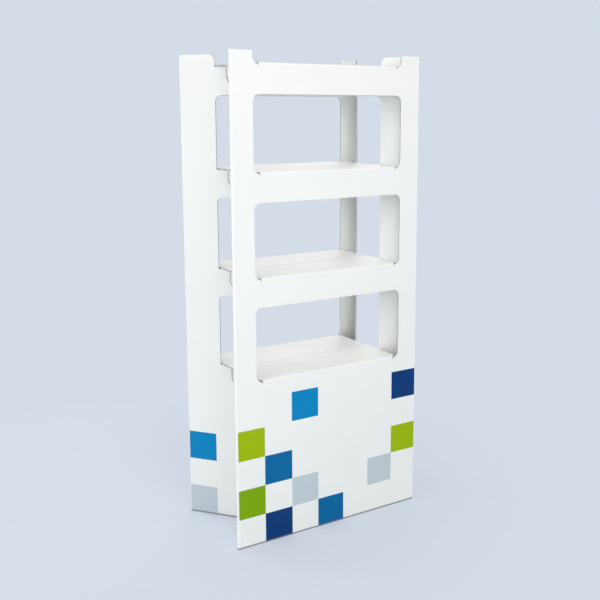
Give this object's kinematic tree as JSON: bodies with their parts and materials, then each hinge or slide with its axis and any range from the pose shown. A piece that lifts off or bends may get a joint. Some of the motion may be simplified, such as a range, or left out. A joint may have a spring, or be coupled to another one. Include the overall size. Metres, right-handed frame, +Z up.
{
  "type": "cardboard shelf display",
  "caption": "Tall free-standing shelf display folded from white corrugated board, with open windows on all sides, folded-in side walls, flap shelves and printed squares on its closed foot.",
  "frame": {"origin": "On the floor under the middle of the display's footprint", "axes": "+Z up, the front panel faces -Y, +X to the right as seen from the front"},
  "size_m": [0.726, 0.3684, 1.6],
  "materials": {
    "board": "matte",
    "blue_ink": "satin",
    "navy_ink": "satin",
    "sky_ink": "satin",
    "green_ink": "satin",
    "lime_ink": "satin",
    "grey_ink": "satin"
  },
  "bodies": {
    "root": {"front_panel": "board", "left_wall": "board", "front_shelves": "board", "back_panel": "board", "right_wall": "board", "back_shelves": "board", "front_lap": "board", "rear_lap": "board", "blue_print": "blue_ink", "navy_print": "navy_ink", "sky_print": "sky_ink", "green_print": "green_ink", "lime_print": "lime_ink", "grey_print": "grey_ink"}
  },
  "joints": []
}
